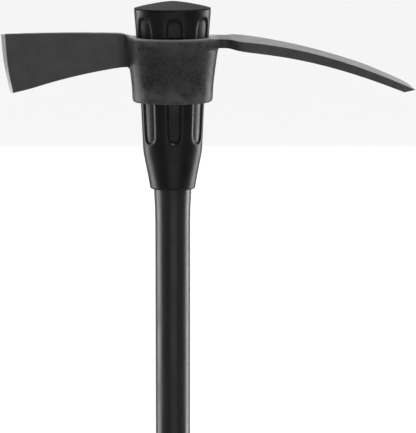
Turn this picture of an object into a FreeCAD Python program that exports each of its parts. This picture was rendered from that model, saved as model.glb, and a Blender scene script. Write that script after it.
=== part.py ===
"""Cutter mattock: a forged two-bladed head that slips over a fluted swell on a jacketed fibreglass handle.

Frame: +Z runs up the handle's axis from the centre of the butt face, +X points along the adze blade,
-X along the cutter blade, and the head is symmetric about the XZ plane. Millimetres throughout.
"""
import FreeCAD, Part
import math
import os

Vector = FreeCAD.Vector

# ---- Handle, from the inside out ----
handle_length = 915.0          # butt face to the peak of the dome
core_diameter = 25.4           # solid fibreglass rod
jacket_wall = 4.7              # moulded jacket over the rod, at its thickest plain stretch
shaft_taper = 0.6              # radius that the jacket loses between the swell and the grip
jacket_swell = 1.4             # extra jacket radius where it enters the sleeve
swell_length = 36.0            # length of the curve that brings the swell down to the plain shaft
swell_middle_share = 0.3       # share of the swell gained by the point 0.45 of the way down that curve
swell_middle_place = 0.45
jacket_socket_depth = 30.0     # how far the jacket runs up inside the sleeve's skirt
bond_gap = 0.6                 # epoxy between the rod and the sleeve's bore

# ---- Grip and butt ----
grip_length = 262.0
grip_wall = 3.2                # grip rubber over the jacket
grip_bead_height = 1.0         # how far the bead at the grip's top stands proud
grip_bead_width = 7.0
grip_bead_edge = 0.9           # rounding of the bead's two edges
groove_depth = 0.8
groove_width = 2.0
groove_pitch = 11.0
grip_plain_end = 20.0          # ungrooved rubber at each end of the grip
butt_cap_height = 27.0
butt_cap_floor = 6.0
butt_cap_wall = 4.2
butt_cap_edge = 2.5            # rounding round the butt face

# ---- Sleeve: each oval grows from the one below it ----
sleeve_end_wall_x = 3.95       # skirt wall at its lower end, across the head's length
sleeve_end_wall_y = 2.6        # and across its depth
skirt_lip_height = 3.0         # rounded lip at the skirt's lower end
skirt_lip_inset = 2.4
skirt_height = 37.5
skirt_growth_x = 6.55
skirt_growth_y = 0.5
neck_height = 49.5             # plain fluted neck between the skirt and the eye
neck_growth_x = 2.3
neck_growth_y = 0.7
head_stand_height = 28.2       # sleeve above the eye
stand_growth_x = 2.3
stand_growth_y = 1.8
flute_depth = 2.2
flute_angle = 34.5             # place of the outer flutes round the oval, from its long axis
flute_width_top = 17.5
flute_width_bottom = 14.0
flute_below_rim = 7.9
flute_above_skirt = 8.5

# ---- Domed end cap ----
dome_height = 7.0
dome_edge = 0.8                # straight edge under the dome
dome_flank_place = 0.55        # share of the dome's radius at which its flank is given
dome_flank_height = 0.68       # share of the dome's height reached there
cap_spigot_length = 13.0
cap_spigot_clearance = 0.15
cap_spigot_gap = 1.0           # between the spigot's foot and the rod's top

# ---- Eye and collar of the head ----
eye_height = 65.0
eye_slope_x = 4.5 / 65.0       # half-width gained per millimetre of height
eye_slope_y = 3.0 / 65.0
eye_clearance = 0.3            # between the sleeve and the eye
collar_wall_x_bottom = 8.2
collar_wall_x_top = 10.5
collar_wall_y_bottom = 7.7
collar_wall_y_top = 8.6
collar_straight = 16.0         # height over which the collar's foot hardly widens
collar_edge = 3.5              # rounding round the collar's lower edge
eye_edge = 1.0                 # chamfer round both mouths of the eye
collar_straight_growth = 0.3

# ---- Cutter blade, on the -X side ----
cutter_reach = 170.5           # handle axis to the upper corner of the edge
cutter_rise = 5.2              # blade's top above the collar's top
cutter_crown = 1.0             # bulge of the blade's top
cutter_edge_height = 58.5
cutter_edge_rake = 9.2         # how far the lower corner falls short of the upper one
cutter_edge_bulge = 2.0
cutter_root_height = 33.5
cutter_belly = 2.2             # bulge of the blade's lower side
cutter_root_thickness = 12.0
cutter_tip_thickness = 5.6
cutter_bevel_angle = 21.0      # each side
cutter_root_fillet = 6.0
cutter_shoulder = 4.0          # from the collar's end to where the blade's top levels out

# ---- Adze blade, on the +X side ----
adze_reach = 238.0             # handle axis to the edge
adze_drop = 50.2               # edge below the collar's top
adze_first_drop = 3.4          # drop at the shoulder
adze_middle_drop = 20.5        # drop halfway between the shoulder and the edge
adze_neck_thickness = 9.0
adze_root_thickness = 10.3     # at the shoulder
adze_tip_thickness = 8.4
adze_bevel_length = 11.0
adze_bevel_rise = 2.7          # edge above the bevel's heel
adze_edge_width = 88.0
adze_waist_width = 70.0
adze_shoulder_width = 80.0
adze_neck_share = 0.638        # neck width as a share of the collar's
adze_waist_place = 0.42        # where the waist falls, as a share of shoulder plus reach
adze_neck_length = 3.0         # straight neck past the collar's end
adze_flare_length = 18.0
adze_corner = 3.0              # rounding of the edge's corner on the -Y side
adze_worn_corner = 34.0        # and on the +Y side, which the grinding has taken further back
adze_root_fillet = 5.0
adze_foot_share = 0.512        # where the neck starts inside the collar, as a share of its half length
adze_edge_slope = 0.44         # fall of the blade's top at the edge, per millimetre outward
adze_heel_slope = 0.36         # and of its underside at the bevel's heel

oval_seam = 60                 # degrees round the ovals at which their surfaces close, clear of both blades

# ---- Heights and ovals that follow from the sizes above ----
rim_z = handle_length - dome_height - dome_edge
eye_top_z = rim_z - head_stand_height
eye_bottom_z = eye_top_z - eye_height
skirt_break_z = eye_bottom_z - neck_height
skirt_end_z = skirt_break_z - skirt_height
core_top_z = rim_z - cap_spigot_length - cap_spigot_gap
jacket_top_z = skirt_end_z + jacket_socket_depth
grip_top_z = butt_cap_height + grip_length

core_radius = core_diameter / 2
shaft_radius = core_radius + jacket_wall
swell_radius = shaft_radius + jacket_swell
grip_bore_radius = shaft_radius - shaft_taper
grip_radius = grip_bore_radius + grip_wall
butt_cap_radius = grip_bore_radius + butt_cap_wall


class Oval:
    """An ellipse across the handle's axis: half its length in X, half its depth in Y, and its height."""

    def __init__(self, half_x, half_y, z):
        self.half_x = half_x
        self.half_y = half_y
        self.z = z

    def wire(self):
        stretch = FreeCAD.Matrix()
        stretch.scale(self.half_x, self.half_y, 1.0)
        stretch.move(Vector(0, 0, self.z))
        circle = Part.makeCircle(1.0, Vector(0, 0, 0), Vector(0, 0, 1), oval_seam, oval_seam + 360)
        return Part.Wire([circle.transformGeometry(stretch)])

    def grown(self, by_x, by_y=None, z=None):
        """The same oval, wider by by_x and deeper by by_y on each side, at height z."""
        by_y = by_x if by_y is None else by_y
        return Oval(self.half_x + by_x, self.half_y + by_y, self.z if z is None else z)

    def point(self, degrees):
        turn = math.radians(degrees)
        return Vector(self.half_x * math.cos(turn), self.half_y * math.sin(turn), self.z)


skirt_end = Oval(swell_radius + sleeve_end_wall_x, swell_radius + sleeve_end_wall_y, skirt_end_z)
skirt_break = skirt_end.grown(skirt_growth_x, skirt_growth_y, skirt_break_z)
sleeve_eye_bottom = skirt_break.grown(neck_growth_x, neck_growth_y, eye_bottom_z)
sleeve_eye_top = sleeve_eye_bottom.grown(eye_slope_x * eye_height, eye_slope_y * eye_height, eye_top_z)
sleeve_rim = sleeve_eye_top.grown(stand_growth_x, stand_growth_y, rim_z)

eye_bottom = sleeve_eye_bottom.grown(eye_clearance)
eye_top = sleeve_eye_top.grown(eye_clearance)
collar_bottom = eye_bottom.grown(collar_wall_x_bottom, collar_wall_y_bottom)
collar_top = eye_top.grown(collar_wall_x_top, collar_wall_y_top)

adze_neck_width = collar_top.half_y * 2 * adze_neck_share
adze_foot_x = collar_top.half_x * adze_foot_share


# ---- Small tools ----
def loft(ovals):
    return Part.makeLoft([oval.wire() for oval in ovals], True, True)


def cylinder(radius, bottom, top):
    return Part.makeCylinder(radius, top - bottom, Vector(0, 0, bottom))


def line(start, end):
    return Part.LineSegment(start, end).toShape()


def arc(start, middle, end):
    return Part.Arc(start, middle, end).toShape()


def spline(points, first_tangent=None, last_tangent=None):
    curve = Part.BSplineCurve()
    if first_tangent is None:
        curve.interpolate(points)
    else:
        curve.interpolate(Points=points, InitialTangent=first_tangent, FinalTangent=last_tangent)
    return curve.toShape()


def bulged(start, end, bulge, towards):
    """An arc from start to end whose middle stands off the chord by bulge, in the direction towards."""
    middle = (start + end) * 0.5
    chord = end - start
    side = Vector(towards) - chord * (chord.dot(Vector(towards)) / chord.dot(chord))
    return arc(start, middle + side.normalize() * bulge, end)


def face(edges):
    return Part.Face(Part.Wire(Part.sortEdges(edges)[0]))


def slab(outline, direction):
    """The outline pushed both ways along direction, by the direction's own length."""
    return outline.translated(direction * -1).extrude(direction * 2)


def revolved(edges):
    return face(edges).revolve(Vector(0, 0, 0), Vector(0, 0, 1), 360)


def at(radius, z):
    """A point of a half section that is turned about the handle's axis."""
    return Vector(radius, 0, z)


# ---- Handle ----
def core_rod():
    return cylinder(core_radius, butt_cap_floor, core_top_z)


def shaft_jacket():
    swell_foot = at(shaft_radius, skirt_end_z - swell_length)
    swell_middle = at(shaft_radius + jacket_swell * swell_middle_share,
                      skirt_end_z - swell_length * swell_middle_place)
    edges = [
        line(at(core_radius, butt_cap_floor), at(grip_bore_radius, butt_cap_floor)),
        line(at(grip_bore_radius, butt_cap_floor), at(grip_bore_radius, grip_top_z)),
        line(at(grip_bore_radius, grip_top_z), swell_foot),
        arc(swell_foot, swell_middle, at(swell_radius, skirt_end_z)),
        line(at(swell_radius, skirt_end_z), at(swell_radius, jacket_top_z)),
        line(at(swell_radius, jacket_top_z), at(core_radius, jacket_top_z)),
        line(at(core_radius, jacket_top_z), at(core_radius, butt_cap_floor)),
    ]
    return revolved(edges)


def core_bond():
    return cylinder(core_radius + bond_gap, jacket_top_z, core_top_z).cut(
        cylinder(core_radius, jacket_top_z, core_top_z))


def grip_sleeve():
    bottom = butt_cap_height
    bead_foot = grip_top_z - grip_bead_width
    outer = cylinder(grip_radius, bottom, bead_foot)
    bead_radius = grip_radius + grip_bead_height
    bead = cylinder(bead_radius, bead_foot, grip_top_z)
    bead = bead.makeFillet(grip_bead_edge, [bead.Edges[0], bead.Edges[2]])
    grip = outer.fuse(bead)
    grooved = bead_foot - grip_plain_end - (bottom + grip_plain_end)
    groove_count = int(grooved // groove_pitch)
    for index in range(groove_count + 1):
        z = bottom + grip_plain_end + index * groove_pitch
        ring = cylinder(grip_radius + groove_depth, z, z + groove_width).cut(
            cylinder(grip_radius - groove_depth, z, z + groove_width))
        grip = grip.cut(ring)
    return grip.cut(cylinder(grip_bore_radius, bottom, grip_top_z)).removeSplitter()


def butt_cap():
    cap = cylinder(butt_cap_radius, 0, butt_cap_height)
    bottom_rim = [edge for edge in cap.Edges if edge.BoundBox.ZMax < 1e-6]
    cap = cap.makeFillet(butt_cap_edge, bottom_rim)
    return cap.cut(cylinder(grip_bore_radius, butt_cap_floor, butt_cap_height))


# ---- Sleeve and its cap ----
def sleeve_body(inset=0.0):
    """The sleeve's outer form, or the same form inset all round."""
    lip = skirt_end.grown(-skirt_lip_inset)
    skirt_foot = skirt_end.grown(0, 0, skirt_end_z + skirt_lip_height)
    ovals = [lip, skirt_foot, skirt_break, sleeve_eye_bottom, sleeve_eye_top, sleeve_rim]
    return loft([oval.grown(-inset) for oval in ovals])


def flute_cutter(degrees):
    """A round-ended slot that follows the sleeve's slope, wide at the top and narrower at the bottom."""
    low = sleeve_between(skirt_break_z + flute_above_skirt).point(degrees)
    high = sleeve_between(rim_z - flute_below_rim).point(degrees)
    along = (high - low).normalize()
    middle = sleeve_eye_bottom
    turn = math.radians(degrees)
    outward = Vector(math.cos(turn) / middle.half_x, math.sin(turn) / middle.half_y, 0)
    across = along.cross(outward).normalize()
    outward = across.cross(along).normalize()
    low_half = flute_width_bottom / 2
    high_half = flute_width_top / 2
    low_centre = low + along * low_half
    high_centre = high - along * high_half
    slot = face([
        arc(low_centre - across * low_half, low, low_centre + across * low_half),
        line(low_centre + across * low_half, high_centre + across * high_half),
        arc(high_centre + across * high_half, high, high_centre - across * high_half),
        line(high_centre - across * high_half, low_centre - across * low_half),
    ])
    inward = outward * (sleeve_end_wall_x + flute_depth * 3)
    return slot.translated(inward * -1).extrude(inward * 3)


def sleeve_between(z):
    """The sleeve's oval at height z, between the skirt and the rim."""
    ovals = [skirt_break, sleeve_eye_bottom, sleeve_eye_top, sleeve_rim]
    for lower, upper in zip(ovals, ovals[1:]):
        if z <= upper.z:
            break
    share = (z - lower.z) / (upper.z - lower.z)
    return lower.grown((upper.half_x - lower.half_x) * share, (upper.half_y - lower.half_y) * share, z)


def eye_sleeve():
    body = sleeve_body()
    floor = sleeve_body(flute_depth)
    side_flutes = [flute_angle, 180 - flute_angle, 180 + flute_angle, -flute_angle]
    for degrees in [90, -90] + side_flutes:
        body = body.cut(flute_cutter(degrees).cut(floor))
    body = body.cut(cylinder(swell_radius, skirt_end_z, jacket_top_z))
    return body.cut(cylinder(core_radius + bond_gap, jacket_top_z, rim_z))


def end_cap():
    """The dome is turned round and then drawn in across the depth, so it meets the rim's oval."""
    long_radius = sleeve_rim.half_x
    foot = at(long_radius - dome_edge / 2, rim_z)
    shoulder = at(long_radius, rim_z + dome_edge)
    peak = at(0, handle_length)
    flank = at(long_radius * dome_flank_place, rim_z + dome_edge + dome_height * dome_flank_height)
    edges = [
        line(at(0, rim_z), foot),
        line(foot, shoulder),
        arc(shoulder, flank, peak),
        line(peak, at(0, rim_z)),
    ]
    squeeze = FreeCAD.Matrix()
    squeeze.scale(1.0, sleeve_rim.half_y / sleeve_rim.half_x, 1.0)
    dome = revolved(edges).transformGeometry(squeeze)
    spigot_radius = core_radius + bond_gap - cap_spigot_clearance
    spigot = cylinder(spigot_radius, rim_z - cap_spigot_length, rim_z + dome_edge)
    return dome.fuse(spigot)


# ---- Head ----
def eye_cutter():
    """The tapered eye, carried on past both mouths at the same slope."""
    over = eye_height / 6
    below = eye_bottom.grown(-eye_slope_x * over, -eye_slope_y * over, eye_bottom_z - over)
    above = eye_top.grown(eye_slope_x * over, eye_slope_y * over, eye_top_z + over)
    return loft([below, above])


def mouth_chamfer(mouth, outward):
    """A short flared loft that breaks the edge of one mouth of the eye."""
    inside = mouth.grown(0, 0, mouth.z - outward * eye_edge)
    outside = mouth.grown(eye_edge * 2, eye_edge * 2, mouth.z + outward * eye_edge)
    return loft([inside, outside] if outward > 0 else [outside, inside])


def collar():
    straight_z = eye_bottom_z + collar_straight
    straight = collar_bottom.grown(collar_straight_growth, collar_straight_growth, straight_z)
    body = loft([collar_bottom, straight, collar_top])
    lower_rim = [edge for edge in body.Edges if edge.BoundBox.ZMax < eye_bottom_z + 1e-3]
    return body.makeFillet(collar_edge, lower_rim)


def cutter_side():
    """The cutter blade seen from the side, with its arched edge."""
    top_z = eye_top_z + cutter_rise - cutter_crown
    upper_corner = Vector(-cutter_reach, 0, top_z)
    lower_corner = upper_corner + Vector(cutter_edge_rake, 0, -cutter_edge_height)
    root_top = Vector(-collar_top.half_x - cutter_shoulder, 0, top_z)
    root_bottom = root_top - Vector(0, 0, cutter_root_height)
    inner_top = Vector(-eye_top.half_x, 0, eye_top_z)
    inner_bottom = Vector(-eye_top.half_x, 0, root_bottom.z)
    return face([
        bulged(root_top, upper_corner, cutter_crown, Vector(0, 0, 1)),
        bulged(upper_corner, lower_corner, cutter_edge_bulge, Vector(-1, 0, 0)),
        bulged(lower_corner, root_bottom, cutter_belly, Vector(0, 0, 1)),
        line(root_bottom, inner_bottom),
        line(inner_bottom, inner_top),
        spline([inner_top, root_top], Vector(-1, 0, 0.1), Vector(-1, 0, 0.02)),
    ])


def cutter_plan():
    """The cutter blade seen from above: a long wedge that runs into the collar."""
    tip = cutter_tip_thickness / 2
    root = cutter_root_thickness / 2
    inner_x = -eye_top.half_x
    corners = [Vector(-cutter_reach, tip, 0), Vector(inner_x, root, 0), Vector(inner_x, -root, 0),
               Vector(-cutter_reach, -tip, 0)]
    return Part.Face(Part.makePolygon(corners + corners[:1]))


def cutter_grind():
    """A double cone about the centre of the edge's arc: what lies inside it keeps the ground bevels."""
    chord = math.hypot(cutter_edge_rake, cutter_edge_height)
    radius = chord ** 2 / (8 * cutter_edge_bulge) + cutter_edge_bulge / 2
    upper = Vector(-cutter_reach, 0, eye_top_z + cutter_rise - cutter_crown)
    lower = upper + Vector(cutter_edge_rake, 0, -cutter_edge_height)
    inward = Vector(cutter_edge_height, 0, cutter_edge_rake).normalize()
    centre = (upper + lower) * 0.5 + inward * (radius - cutter_edge_bulge)
    thickness = radius * math.tan(math.radians(cutter_bevel_angle))
    cones = [
        Part.makeCone(radius, 0, thickness, centre, Vector(0, 1, 0)),
        Part.makeCone(radius, 0, thickness, centre, Vector(0, -1, 0)),
    ]
    return cones[0].fuse(cones[1])


def cutter_blade():
    depth = Vector(0, collar_top.half_y, 0)
    height = Vector(0, 0, cutter_edge_height * 2)
    side = slab(cutter_side(), depth)
    plan = slab(cutter_plan().translated(Vector(0, 0, eye_top_z)), height)
    return side.common(plan).common(cutter_grind())


def adze_side():
    """The adze blade seen from the side: a slow downward curve with a bevel under the edge."""
    shoulder_x = collar_top.half_x + adze_flare_length * 2
    middle_x = (shoulder_x + adze_reach) / 2
    inner_top = Vector(adze_foot_x, 0, eye_top_z)
    shoulder = Vector(shoulder_x, 0, eye_top_z - adze_first_drop)
    middle = Vector(middle_x, 0, eye_top_z - adze_middle_drop)
    edge_point = Vector(adze_reach, 0, eye_top_z - adze_drop)
    heel = edge_point - Vector(adze_bevel_length, 0, adze_bevel_rise)
    under_middle = middle - Vector(0, 0, (adze_root_thickness + adze_tip_thickness) / 2)
    under_shoulder = shoulder - Vector(0, 0, adze_root_thickness)
    inner_bottom = inner_top - Vector(0, 0, adze_neck_thickness)
    return face([
        spline([inner_top, shoulder, middle, edge_point], Vector(1, 0, 0),
               Vector(1, 0, -adze_edge_slope)),
        line(edge_point, heel),
        spline([heel, under_middle, under_shoulder, inner_bottom], Vector(-1, 0, adze_heel_slope),
               Vector(-1, 0, 0)),
        line(inner_bottom, inner_top),
    ])


def adze_flank(side, corner):
    """One long edge of the adze seen from above, from the neck to the middle of the cutting edge."""
    neck_x = collar_top.half_x + adze_neck_length
    shoulder_x = neck_x + adze_flare_length
    waist_x = (shoulder_x + adze_reach) * adze_waist_place
    foot = Vector(adze_foot_x, side * (adze_neck_width / 2 + adze_root_fillet), 0)
    neck = Vector(neck_x, side * adze_neck_width / 2, 0)
    shoulder = Vector(shoulder_x, side * adze_shoulder_width / 2, 0)
    waist = Vector(waist_x, side * adze_waist_width / 2, 0)
    corner_start = Vector(adze_reach - corner, side * adze_edge_width / 2, 0)
    corner_end = Vector(adze_reach, side * (adze_edge_width / 2 - corner), 0)
    return [
        spline([foot, neck], Vector(1, -side * 0.6, 0), Vector(1, 0, 0)),
        spline([neck, shoulder], Vector(1, side * 0.1, 0), Vector(1, 0, 0)),
        spline([shoulder, waist, corner_start], Vector(1, 0, 0), Vector(1, side * 0.05, 0)),
        spline([corner_start, corner_end], Vector(1, side * 0.05, 0), Vector(0, -side, 0)),
        line(corner_end, Vector(adze_reach, 0, 0)),
    ]


def adze_plan():
    """The adze blade seen from above: a narrow neck, square shoulders, a waist and a wide edge."""
    foot = Vector(adze_foot_x, adze_neck_width / 2 + adze_root_fillet, 0)
    across = line(foot, foot - Vector(0, foot.y * 2, 0))
    return face(adze_flank(1, adze_worn_corner) + adze_flank(-1, adze_corner) + [across])


def adze_blade():
    side = slab(adze_side(), Vector(0, adze_edge_width, 0))
    plan = slab(adze_plan().translated(Vector(0, 0, eye_top_z)), Vector(0, 0, adze_drop * 2))
    return side.common(plan)


def cutter_root_edges(forging):
    """The two sides and the foot of the cutter's root, where they run into the collar."""
    def on_wall(edge):
        return all(-collar_top.half_x < end.X < -collar_bottom.half_x for end in edge.Vertexes)
    return [edge for edge in forging.Edges
            if on_wall(edge) and abs(edge.CenterOfMass.y) < cutter_root_thickness
            and edge.CenterOfMass.z < eye_top_z - 1.0]


def adze_root_edges(forging):
    """The curve where the adze's underside runs into the collar."""
    def under_neck(middle):
        lowest = eye_top_z - adze_neck_thickness * 1.5
        return collar_bottom.half_x < middle.x < collar_top.half_x and lowest < middle.z < eye_top_z - 1.0
    return [edge for edge in forging.Edges
            if under_neck(edge.CenterOfMass) and abs(edge.CenterOfMass.y) < 1.0]


def mattock_head():
    forging = collar().fuse([cutter_blade(), adze_blade()])
    forging = forging.makeFillet(cutter_root_fillet, cutter_root_edges(forging))
    forging = forging.makeFillet(adze_root_fillet, adze_root_edges(forging))
    forging = forging.cut(eye_cutter())
    forging = forging.cut(mouth_chamfer(eye_top, 1))
    return forging.cut(mouth_chamfer(eye_bottom, -1)).removeSplitter()


NODES = {
    "mattock_head": mattock_head,
    "eye_sleeve": eye_sleeve,
    "end_cap": end_cap,
    "core_bond": core_bond,
    "core_rod": core_rod,
    "shaft_jacket": shaft_jacket,
    "grip_sleeve": grip_sleeve,
    "butt_cap": butt_cap,
}

os.makedirs("parts", exist_ok=True)
for name, build in NODES.items():
    shape = build()
    shape.exportStep(os.path.join("parts", name + ".step"))
    box = shape.optimalBoundingBox(False)
    print(f"{name}: {len(shape.Solids)} solid, valid {shape.isValid()}, {shape.Volume / 1000:.1f} cm3")
    print(f"    x {box.XMin:.1f} to {box.XMax:.1f}, y {box.YMin:.1f} to {box.YMax:.1f}, "
          f"z {box.ZMin:.1f} to {box.ZMax:.1f}")
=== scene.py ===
# %% [markdown]
# # A cutter mattock, piece by piece
# The CAD frame gives where each piece starts and ends. This file builds the looks of six pieces over it: the
# forged head, the fluted sleeve that wedges it, the domed cap, the jacketed shaft, the ribbed grip and the
# butt plug.
# Each cell does one small thing and prints what it made, so it can be read from top to bottom.

# %% Tools and the frame
import math

import bmesh
import bpy
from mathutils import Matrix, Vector


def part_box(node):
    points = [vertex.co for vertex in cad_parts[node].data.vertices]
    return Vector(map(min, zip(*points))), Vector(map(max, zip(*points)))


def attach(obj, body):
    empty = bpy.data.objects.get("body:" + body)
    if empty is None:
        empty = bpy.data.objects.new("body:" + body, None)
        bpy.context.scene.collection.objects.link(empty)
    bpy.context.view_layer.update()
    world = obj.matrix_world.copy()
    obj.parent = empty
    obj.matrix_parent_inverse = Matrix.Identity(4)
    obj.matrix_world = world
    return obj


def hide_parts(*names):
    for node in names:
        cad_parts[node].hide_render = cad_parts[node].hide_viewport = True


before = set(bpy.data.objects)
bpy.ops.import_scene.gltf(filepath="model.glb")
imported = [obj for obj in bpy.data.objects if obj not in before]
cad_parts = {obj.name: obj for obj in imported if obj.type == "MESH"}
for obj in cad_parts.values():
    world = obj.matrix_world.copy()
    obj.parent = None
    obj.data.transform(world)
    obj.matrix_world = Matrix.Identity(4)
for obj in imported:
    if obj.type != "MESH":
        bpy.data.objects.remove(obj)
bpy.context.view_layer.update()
MM = 0.001
print("CAD nodes:", sorted(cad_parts))

# %% [markdown]
# The pieces start, end and reach where the CAD nodes do, so those places are read from the frame. They are
# rounded to a tenth of a millimetre, so that they match the heights that are typed below.

# %% Places taken from the frame
def node_box(node):
    """The lowest and highest corner of a CAD node, in millimetres."""
    return [[round(side / MM, 1) for side in corner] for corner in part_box(node)]


(CUTTER_REACH, _, EYE_BOTTOM), (ADZE_REACH, _, _) = node_box("mattock_head")
(_, _, SLEEVE_FOOT), (_, _, SLEEVE_RIM) = node_box("eye_sleeve")
(_, _, JACKET_FOOT), (_, _, JACKET_TOP) = node_box("shaft_jacket")
(_, _, GRIP_FOOT), (_, _, GRIP_TOP) = node_box("grip_sleeve")
PLUG_FOOT = node_box("end_cap")[0][2]
print("head:", CUTTER_REACH, "to", ADZE_REACH, "along, and from", EYE_BOTTOM, "up")
print("sleeve:", SLEEVE_FOOT, "to", SLEEVE_RIM, "and jacket:", JACKET_FOOT, "to", JACKET_TOP)
print("grip:", GRIP_FOOT, "to", GRIP_TOP, "and the cap's plug from", PLUG_FOOT)

# %% [markdown]
# ## Working by hand, in code
# In Blender's window a modeller clicks faces, then extrudes, sizes or moves them. The helpers below do
# the same: one leaves a single object chosen, one picks parts of its mesh by their place, and one
# makes the picked part fill a box. All their places are in millimetres.

# %% Choosing an object and parts of its mesh
def choose(piece):
    """Leaves the piece as the only selected and active object."""
    if bpy.context.mode != "OBJECT":
        bpy.ops.object.mode_set(mode="OBJECT")
    bpy.ops.object.select_all(action="DESELECT")
    piece.select_set(True)
    bpy.context.view_layer.objects.active = piece


def pick(test, kind="FACE"):
    """Selects only the faces, edges or vertices whose middle passes the test, and says how many."""
    bpy.ops.mesh.select_mode(type=kind)
    bpy.ops.mesh.select_all(action="DESELECT")
    form = bmesh.from_edit_mesh(bpy.context.edit_object.data)
    parts = {"FACE": form.faces, "EDGE": form.edges, "VERT": form.verts}[kind]
    count = 0
    for part in parts:
        corners = [part] if kind == "VERT" else part.verts
        middle = sum((corner.co for corner in corners), Vector()) / len(corners) / MM
        if test(middle, part):
            part.select_set(True)
            count += 1
    form.select_flush_mode()
    bmesh.update_edit_mesh(bpy.context.edit_object.data)
    return count


def around(middle):
    """The angle of a point round the handle, in degrees from the adze's side."""
    return math.degrees(math.atan2(middle.y, middle.x))


print("helpers: choose, pick, around")

# %% [markdown]
# With something picked, a modeller presses G to move it and S to size it. Fitting does both at once: the
# picked faces are sized and moved until they just fill a given box, which is how each section of a blade
# gets its width, depth and place.

# %% Moving and fitting what is selected
def move(x=0.0, y=0.0, z=0.0):
    bpy.ops.transform.translate(value=(x * MM, y * MM, z * MM))


def size(x, y, z, about):
    bpy.ops.transform.resize(value=(x, y, z), center_override=Vector(about) * MM)


def fit(low, high):
    """Sizes and moves the selected vertices until they just fill the box from low to high."""
    form = bmesh.from_edit_mesh(bpy.context.edit_object.data)
    places = [vertex.co / MM for vertex in form.verts if vertex.select]
    start = Vector([min(place[axis] for place in places) for axis in range(3)])
    end = Vector([max(place[axis] for place in places) for axis in range(3)])
    ratio = [(high[a] - low[a]) / (end[a] - start[a]) if end[a] - start[a] > 1e-4 else 1.0 for a in range(3)]
    size(*ratio, about=start)
    move(*(Vector(low) - start))


print("helpers: move, size, fit")

# %% [markdown]
# ## Ovals that climb
# Nearly every piece here is an oval or a ring that grows along the handle, so one way of building serves
# them all: a circle is added, stretched to the first oval, and its rim is extruded from oval to oval.
# A smoothed ring shrinks a little inside its corner points, so each ring is drawn larger by that share.

# %% Starting a ring and climbing through ovals
def smoothing_loss(sides):
    """How much larger a ring of corner points is than the smooth oval that it leaves."""
    return 3 / (2 + math.cos(math.tau / sides))


def start_ring(name, sides, first):
    """Adds a circle as the first oval (half length, half depth, height) and leaves its rim selected."""
    bpy.ops.object.select_all(action="DESELECT")
    bpy.ops.mesh.primitive_circle_add(vertices=sides, radius=MM, location=(0, 0, 0))
    piece = bpy.context.object
    piece.name = piece.data.name = name
    bpy.ops.object.mode_set(mode="EDIT")
    bpy.ops.mesh.select_all(action="SELECT")
    spread = smoothing_loss(sides)
    size(first[0] * spread, first[1] * spread, 1, about=(0, 0, 0))
    move(z=first[2])
    return piece


def climb(ovals):
    """Extrudes the selected rim from the first oval through all the others."""
    for (x, y, z), (next_x, next_y, next_z) in zip(ovals, ovals[1:]):
        bpy.ops.mesh.extrude_edges_move(TRANSFORM_OT_translate={"value": (0, 0, (next_z - z) * MM)})
        size(next_x / x, next_y / y, 1, about=(0, 0, next_z))


def round_rings(rings):
    """Turns (radius, height) pairs into ovals that are as deep as they are long."""
    return [(radius, radius, z) for radius, z in rings]


def close_ring(first_z, last_z):
    """Bridges the ring's first rim to its last one, each found by its height."""
    def on_rim(middle, edge):
        near = [abs(edge.verts[0].co.z / MM - z) < 0.01 for z in (first_z, last_z)]
        return edge.is_boundary and any(near)
    pick(on_rim, "EDGE")
    bpy.ops.mesh.bridge_edge_loops()


def shrink_to_pole():
    """Draws the selected rim together into one closed point."""
    bpy.ops.mesh.extrude_edges_move()
    bpy.ops.mesh.merge(type="COLLAPSE")


print("helpers: start_ring, climb, close_ring, shrink_to_pole")

# %% [markdown]
# Every piece is finished alike. Doubles are merged first and the normals turned outward, then two levels of
# subdivision round the coarse mesh, and edges that still fold by more than forty degrees are shaded sharp.
# The report counts open edges, because a closed surface is one that could be made in steel or plastic.

# %% Finishing a piece
def describe(piece):
    """Prints the piece's size and says whether its surface is closed."""
    across = [[vertex.co[axis] / MM for vertex in piece.data.vertices] for axis in range(3)]
    low = [round(min(places), 1) for places in across]
    high = [round(max(places), 1) for places in across]
    form = bmesh.new()
    form.from_mesh(piece.data)
    open_edges = sum(1 for edge in form.edges if not edge.is_manifold)
    form.free()
    print(f"{piece.name}: {len(piece.data.polygons)} faces, {low} to {high} mm, {open_edges} open edges")


def finish(piece, levels=2, smooth_angle=40):
    """Recalculates normals, smooths the surface and reports the mesh."""
    bpy.ops.mesh.select_mode(type="VERT")
    bpy.ops.mesh.select_all(action="SELECT")
    bpy.ops.mesh.remove_doubles(threshold=0.00001)
    bpy.ops.mesh.normals_make_consistent(inside=False)
    bpy.ops.object.mode_set(mode="OBJECT")
    choose(piece)
    soften = piece.modifiers.new("soften", "SUBSURF")
    soften.levels = levels
    soften.render_levels = levels
    bpy.ops.object.modifier_apply(modifier=soften.name)
    bpy.ops.object.shade_smooth_by_angle(angle=math.radians(smooth_angle))
    describe(piece)


print("helpers: describe, finish")

# %% [markdown]
# ## The forged head: the collar
# The collar is the ring of steel round the eye. It flares upward with the sleeve that wedges it, and its
# lower edge is rounded. It could be lofted, but a climbing oval leaves tidy rows of faces from which both
# blades can be drawn out, the way a smith draws them from one billet.

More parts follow.
